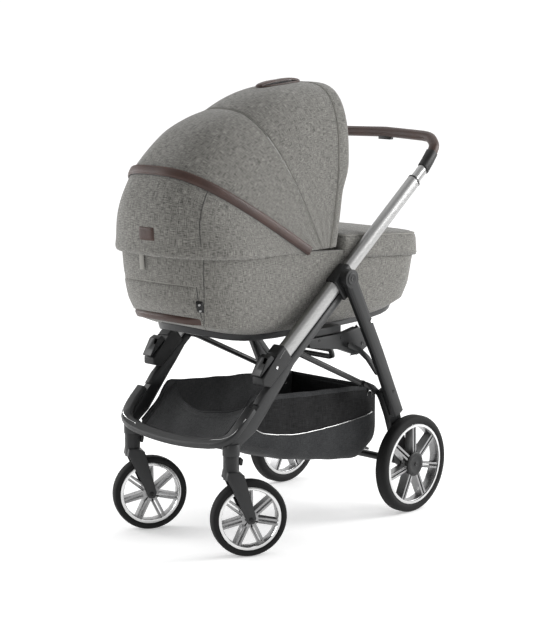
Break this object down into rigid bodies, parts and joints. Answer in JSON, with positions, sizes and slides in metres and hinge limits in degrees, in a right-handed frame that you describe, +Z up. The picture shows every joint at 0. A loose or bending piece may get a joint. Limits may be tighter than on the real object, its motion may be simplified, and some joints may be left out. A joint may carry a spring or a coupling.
{
  "type": "baby stroller",
  "caption": "Pushchair frame with telescopic handle, folding rear legs and swivelling front wheels, carrying a soft carrycot with a folding hood, foot apron and storage basket.",
  "frame": {"origin": "on the ground under the middle of the stroller's bounding box", "axes": "+Z up; -Y is the way the stroller drives (towards the carrycot's head end); +X is the stroller's left side, across it"},
  "size_m": [0.5628, 1.0258, 1.2905],
  "materials": {
    "satin_aluminium": "satin anodised",
    "bright_inner_tube": "polished anodised",
    "dark_frame_plastic": "fine moulded grain",
    "charcoal_leg_plastic": "satin moulded",
    "black_steel": "satin powder coat",
    "silver_rim": "silver lacquer",
    "tyre_rubber": "matt foam-filled rubber",
    "brown_leather": "grained, stitched",
    "grey_melange_cloth": "linen-look weave",
    "basket_cloth": "dense plain weave",
    "hood_bow_plastic": "moulded",
    "cot_base_plastic": "moulded, fine grain",
    "mattress_cloth": "jersey cover over foam"
  },
  "bodies": {
    "chassis": {"knuckle_left": "dark_frame_plastic", "knuckle_right": "dark_frame_plastic", "leg_tube_left": "satin_aluminium", "leg_tube_right": "satin_aluminium", "upper_tube_left": "satin_aluminium", "upper_tube_right": "satin_aluminium", "fold_housing_left": "dark_frame_plastic", "fold_housing_right": "dark_frame_plastic", "front_leg_left": "charcoal_leg_plastic", "front_leg_right": "charcoal_leg_plastic", "seat_mount_left": "dark_frame_plastic", "seat_mount_right": "dark_frame_plastic", "footrest_bow": "charcoal_leg_plastic", "cross_bar": "dark_frame_plastic", "basket": "basket_cloth"},
    "fold_lever_left": {"fold_lever_left": "dark_frame_plastic"},
    "fold_lever_right": {"fold_lever_right": "dark_frame_plastic"},
    "fold_grip": {"fold_grip": "dark_frame_plastic"},
    "handle": {"handle_tube_left": "bright_inner_tube", "handle_tube_right": "bright_inner_tube", "handle_elbow_left": "dark_frame_plastic", "handle_elbow_right": "dark_frame_plastic", "handle_grip": "brown_leather"},
    "height_button": {"height_button": "dark_frame_plastic"},
    "rear_frame": {"rear_leg_left": "dark_frame_plastic", "rear_leg_right": "dark_frame_plastic", "rear_hub_left": "dark_frame_plastic", "rear_hub_right": "dark_frame_plastic", "rear_axle": "black_steel"},
    "rear_wheel_left": {"rear_rim_left": "silver_rim", "rear_tyre_left": "tyre_rubber"},
    "rear_wheel_right": {"rear_rim_right": "silver_rim", "rear_tyre_right": "tyre_rubber"},
    "brake_pedal": {"brake_pedal": "dark_frame_plastic"},
    "braces": {"brace_tube_left": "black_steel", "brace_tube_right": "black_steel"},
    "brace_links": {"brace_link_left": "black_steel", "brace_link_right": "black_steel"},
    "seat_stays": {"seat_stay_left": "black_steel", "seat_stay_right": "black_steel"},
    "caster_left": {"caster_fork_left": "charcoal_leg_plastic"},
    "caster_right": {"caster_fork_right": "charcoal_leg_plastic"},
    "swivel_lock_left": {"swivel_lock_left": "dark_frame_plastic"},
    "swivel_lock_right": {"swivel_lock_right": "dark_frame_plastic"},
    "front_wheel_left": {"front_rim_left": "silver_rim", "front_tyre_left": "tyre_rubber"},
    "front_wheel_right": {"front_rim_right": "silver_rim", "front_tyre_right": "tyre_rubber"},
    "carrycot": {"tub": "grey_melange_cloth", "tub_base": "cot_base_plastic", "mattress": "mattress_cloth", "foot_cover": "grey_melange_cloth", "hood_back_panel": "grey_melange_cloth", "hood_trim_bow": "brown_leather"},
    "hood_mid": {"hood_mid_bow": "hood_bow_plastic", "hood_front_panel": "grey_melange_cloth"},
    "hood_rim": {"hood_top_bow": "hood_bow_plastic", "carry_handle": "brown_leather", "hood_rim_bow": "hood_bow_plastic", "hood_rear_panel": "grey_melange_cloth"}
  },
  "joints": [
    {"name": "handle_slide", "type": "slide", "parent": "chassis", "child": "handle", "axis": [0, 0.7902, 0.6129], "range_m": [-0.045, 0.06]},
    {"name": "height_button_push", "type": "slide", "parent": "handle", "child": "height_button", "axis": [0, 0, 1], "range_m": [0, 0.003], "stiffness_N_per_m": 900, "springref_m": -0.001},
    {"name": "fold_lever_left_pull", "type": "slide", "parent": "chassis", "child": "fold_lever_left", "axis": [0, 0.7902, 0.6129], "range_m": [0, 0.012], "stiffness_N_per_m": 500, "springref_m": -0.002},
    {"name": "fold_lever_right_pull", "type": "slide", "parent": "chassis", "child": "fold_lever_right", "axis": [0, 0.7902, 0.6129], "range_m": [0, 0.012], "stiffness_N_per_m": 500, "springref_m": -0.002},
    {"name": "fold_grip_pull", "type": "slide", "parent": "chassis", "child": "fold_grip", "axis": [0, 0, 1], "range_m": [0, 0.012], "stiffness_N_per_m": 500, "springref_m": -0.002},
    {"name": "rear_leg_fold", "type": "hinge", "parent": "chassis", "child": "rear_frame", "pos_m": [0, 0.04463, 0.7285], "axis": [1, 0, 0], "range_deg": [-35, 0]},
    {"name": "rear_wheel_spin_left", "type": "hinge", "parent": "rear_frame", "child": "rear_wheel_left", "pos_m": [0.256, 0.31963, 0.145], "axis": [1, 0, 0], "continuous": true},
    {"name": "rear_wheel_spin_right", "type": "hinge", "parent": "rear_frame", "child": "rear_wheel_right", "pos_m": [-0.256, 0.31963, 0.145], "axis": [1, 0, 0], "continuous": true},
    {"name": "brake_press", "type": "hinge", "parent": "rear_frame", "child": "brake_pedal", "pos_m": [0, 0.31963, 0.145], "axis": [1, 0, 0], "range_deg": [-18, 0]},
    {"name": "brace_fold", "type": "hinge", "parent": "chassis", "child": "braces", "pos_m": [0, -0.13237, 0.54], "axis": [1, 0, 0], "range_deg": [-24, 0]},
    {"name": "brace_link_fold", "type": "hinge", "parent": "rear_frame", "child": "brace_links", "pos_m": [0, 0.24463, 0.335], "axis": [1, 0, 0], "range_deg": [-104, 0]},
    {"name": "seat_stay_fold", "type": "hinge", "parent": "chassis", "child": "seat_stays", "pos_m": [0, 0.08463, 0.528], "axis": [1, 0, 0], "range_deg": [-81.5, 0]},
    {"name": "caster_swivel_left", "type": "hinge", "parent": "chassis", "child": "caster_left", "pos_m": [0.1973, -0.38037, 0.2855], "axis": [0, 0, 1], "continuous": true},
    {"name": "swivel_lock_left_slide", "type": "slide", "parent": "caster_left", "child": "swivel_lock_left", "axis": [0, 0, 1], "range_m": [0, 0.006]},
    {"name": "front_wheel_spin_left", "type": "hinge", "parent": "caster_left", "child": "front_wheel_left", "pos_m": [0.22165, -0.3382, 0.1072], "axis": [0.866, -0.5, 0], "continuous": true},
    {"name": "caster_swivel_right", "type": "hinge", "parent": "chassis", "child": "caster_right", "pos_m": [-0.1973, -0.38037, 0.2855], "axis": [0, 0, 1], "continuous": true},
    {"name": "swivel_lock_right_slide", "type": "slide", "parent": "caster_right", "child": "swivel_lock_right", "axis": [0, 0, 1], "range_m": [0, 0.006]},
    {"name": "front_wheel_spin_right", "type": "hinge", "parent": "caster_right", "child": "front_wheel_right", "pos_m": [-0.17295, -0.3382, 0.1072], "axis": [0.866, -0.5, 0], "continuous": true},
    {"name": "carrycot_lift", "type": "slide", "parent": "chassis", "child": "carrycot", "axis": [0, 0, 1], "range_m": [0, 0.35]},
    {"name": "hood_fold", "type": "hinge", "parent": "carrycot", "child": "hood_mid", "pos_m": [0, 0.01063, 0.765], "axis": [1, 0, 0], "range_deg": [0, 26], "deforming": ["hood_front_panel"]},
    {"name": "hood_rim_fold", "type": "hinge", "parent": "hood_mid", "child": "hood_rim", "pos_m": [0, 0.01063, 0.765], "axis": [1, 0, 0], "range_deg": [0, 24], "deforming": ["hood_rear_panel"]}
  ],
  "couplings": [
    {"joint": "fold_lever_right_pull", "follows": "fold_lever_left_pull", "ratio": 1},
    {"joint": "brace_fold", "follows": "rear_leg_fold", "ratio": 0.66},
    {"joint": "brace_link_fold", "follows": "rear_leg_fold", "ratio": 2.95},
    {"joint": "seat_stay_fold", "follows": "rear_leg_fold", "ratio": 2.31},
    {"joint": "hood_rim_fold", "follows": "hood_fold", "ratio": 0.92}
  ]
}
